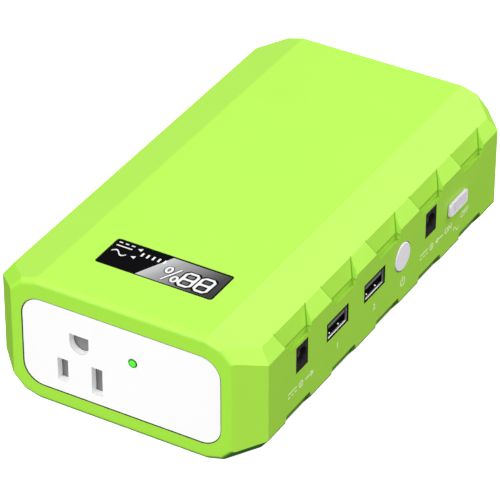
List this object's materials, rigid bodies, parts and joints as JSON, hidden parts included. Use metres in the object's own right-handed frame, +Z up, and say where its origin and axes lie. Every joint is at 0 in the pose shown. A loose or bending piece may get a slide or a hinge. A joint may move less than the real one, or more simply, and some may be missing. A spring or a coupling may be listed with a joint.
{
  "type": "portable power station",
  "caption": "Compact battery power station: faceted lime housing with grip notches, a three-pin AC outlet, USB and barrel ports, a power button, a slide switch and a charge display.",
  "frame": {"origin": "middle of the flat underside, on which the power station rests", "axes": "+Z up; +Y from the outlet panel to the rear, along the length; +X towards the side with the ports and switches"},
  "size_m": [0.0984, 0.1714, 0.0464],
  "materials": {
    "lime_shell": "fine satin moulded plastic, lime green",
    "white_plastic": "smooth moulded plastic, white",
    "grey_plastic": "moulded plastic, mid grey",
    "button_plastic": "moulded plastic, pale grey",
    "green_lens": "tinted clear plastic, green",
    "clear_lamp": "clear epoxy",
    "window": "polished dark window",
    "black_plastic": "moulded plastic, black",
    "board_green": "glass-fibre circuit board, green",
    "steel": "plated steel",
    "brass": "sheet brass",
    "copper": "enamelled copper wire",
    "ferrite": "fired ferrite, dark grey",
    "aluminium": "extruded aluminium",
    "cell_wrap": "can in a blue shrink sleeve",
    "foam": "closed-cell foam, dark grey",
    "rubber": "soft plug, lime green",
    "lead_red": "insulated lead, red",
    "lead_black": "insulated lead, black"
  },
  "bodies": {
    "power_station_case": {"upper_housing": "lime_shell", "lower_housing": "lime_shell", "case_screws": "steel", "screw_plugs": "rubber", "outlet_panel": "white_plastic", "outlet_body": "white_plastic", "outlet_cover": "white_plastic", "shutter_spring": "steel", "hot_contact": "brass", "neutral_contact": "brass", "ground_contact": "brass", "outlet_screws": "steel", "indicator_lens": "green_lens", "indicator_led": "clear_lamp", "indicator_board": "board_green", "display_window": "window", "display_module": "white_plastic", "display_board": "board_green", "port_board": "board_green", "port_board_chips": "black_plastic", "tactile_switch": "black_plastic", "ac_switch_body": "steel", "inverter_board": "board_green", "inverter_chips": "black_plastic", "transformer_core": "ferrite", "transformer_bobbin": "black_plastic", "transformer_winding": "copper", "filter_capacitors": "aluminium", "heat_sink": "aluminium", "power_transistors": "black_plastic", "output_choke": "ferrite", "fuse_link": "ferrite", "front_cell_holder": "black_plastic", "rear_cell_holder": "black_plastic", "nickel_strips": "steel", "battery_board": "board_green", "battery_pads": "foam", "outlet_leads": "lead_black", "battery_leads": "lead_red", "display_ribbon": "lead_black", "board_screws": "steel", "usb_shell_1": "steel", "usb_tongue_1": "grey_plastic", "usb_shell_2": "steel", "usb_tongue_2": "grey_plastic", "output_jack": "black_plastic", "output_jack_pin": "brass", "input_jack": "black_plastic", "input_jack_pin": "brass", "cell_1": "cell_wrap", "cell_2": "cell_wrap", "cell_3": "cell_wrap", "cell_4": "cell_wrap", "cell_5": "cell_wrap", "cell_6": "cell_wrap"},
    "power_button_body": {"power_button": "button_plastic", "button_plunger": "black_plastic"},
    "ac_switch_slider": {"ac_switch_knob": "white_plastic", "ac_switch_lever": "black_plastic"},
    "outlet_shutter": {"safety_shutter": "grey_plastic"}
  },
  "joints": [
    {"name": "power_button_press", "type": "slide", "parent": "power_station_case", "child": "power_button_body", "axis": [-1, 0, 0], "range_m": [0, 0.0008], "stiffness_N_per_m": 1500, "springref_m": -0.0005},
    {"name": "ac_switch_slide", "type": "slide", "parent": "power_station_case", "child": "ac_switch_slider", "axis": [0, 1, 0], "range_m": [0, 0.003]},
    {"name": "shutter_slide", "type": "slide", "parent": "power_station_case", "child": "outlet_shutter", "axis": [1, 0, 0], "range_m": [0, 0.0075], "stiffness_N_per_m": 20, "springref_m": -0.003, "deforming": ["shutter_spring"]}
  ]
}
